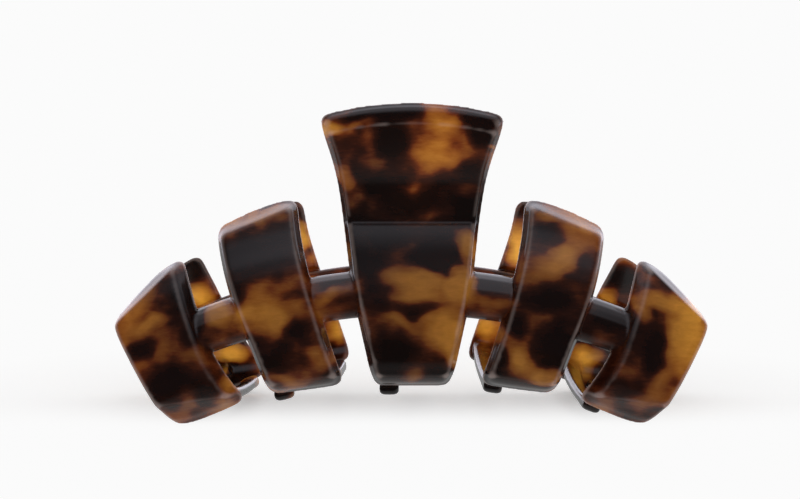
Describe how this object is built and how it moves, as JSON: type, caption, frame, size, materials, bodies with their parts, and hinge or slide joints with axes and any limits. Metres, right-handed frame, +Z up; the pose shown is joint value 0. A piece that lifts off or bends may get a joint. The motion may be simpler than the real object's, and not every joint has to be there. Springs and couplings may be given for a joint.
{
  "type": "claw hair clip",
  "caption": "Arched claw hair clip with wide rounded prongs on a spine bar, a flared centre handle on each jaw, a hinge pin and a torsion spring.",
  "frame": {"origin": "middle of the footprint, on the surface the closed clip stands on", "axes": "+X along the clip, +Y from the front jaw to the back jaw, +Z up towards the handles"},
  "size_m": [0.1122, 0.0438, 0.0594],
  "materials": {
    "shell": "high gloss, translucent tortoiseshell: amber with soft dark brown blotches",
    "pin_steel": "plain steel, lightly drawn",
    "spring_steel": "drawn spring wire"
  },
  "bodies": {
    "front": {"front_jaw": "shell", "hinge_pin": "pin_steel", "torsion_spring": "spring_steel"},
    "back": {"back_jaw": "shell"}
  },
  "joints": [
    {"name": "jaw_hinge", "type": "hinge", "parent": "front", "child": "back", "pos_m": [0, 0, 0.03562], "axis": [1, 0, 0], "range_deg": [0, 50], "stiffness_Nm_per_rad": 0.12, "springref_deg": -31.51, "deforming": ["torsion_spring"]}
  ]
}
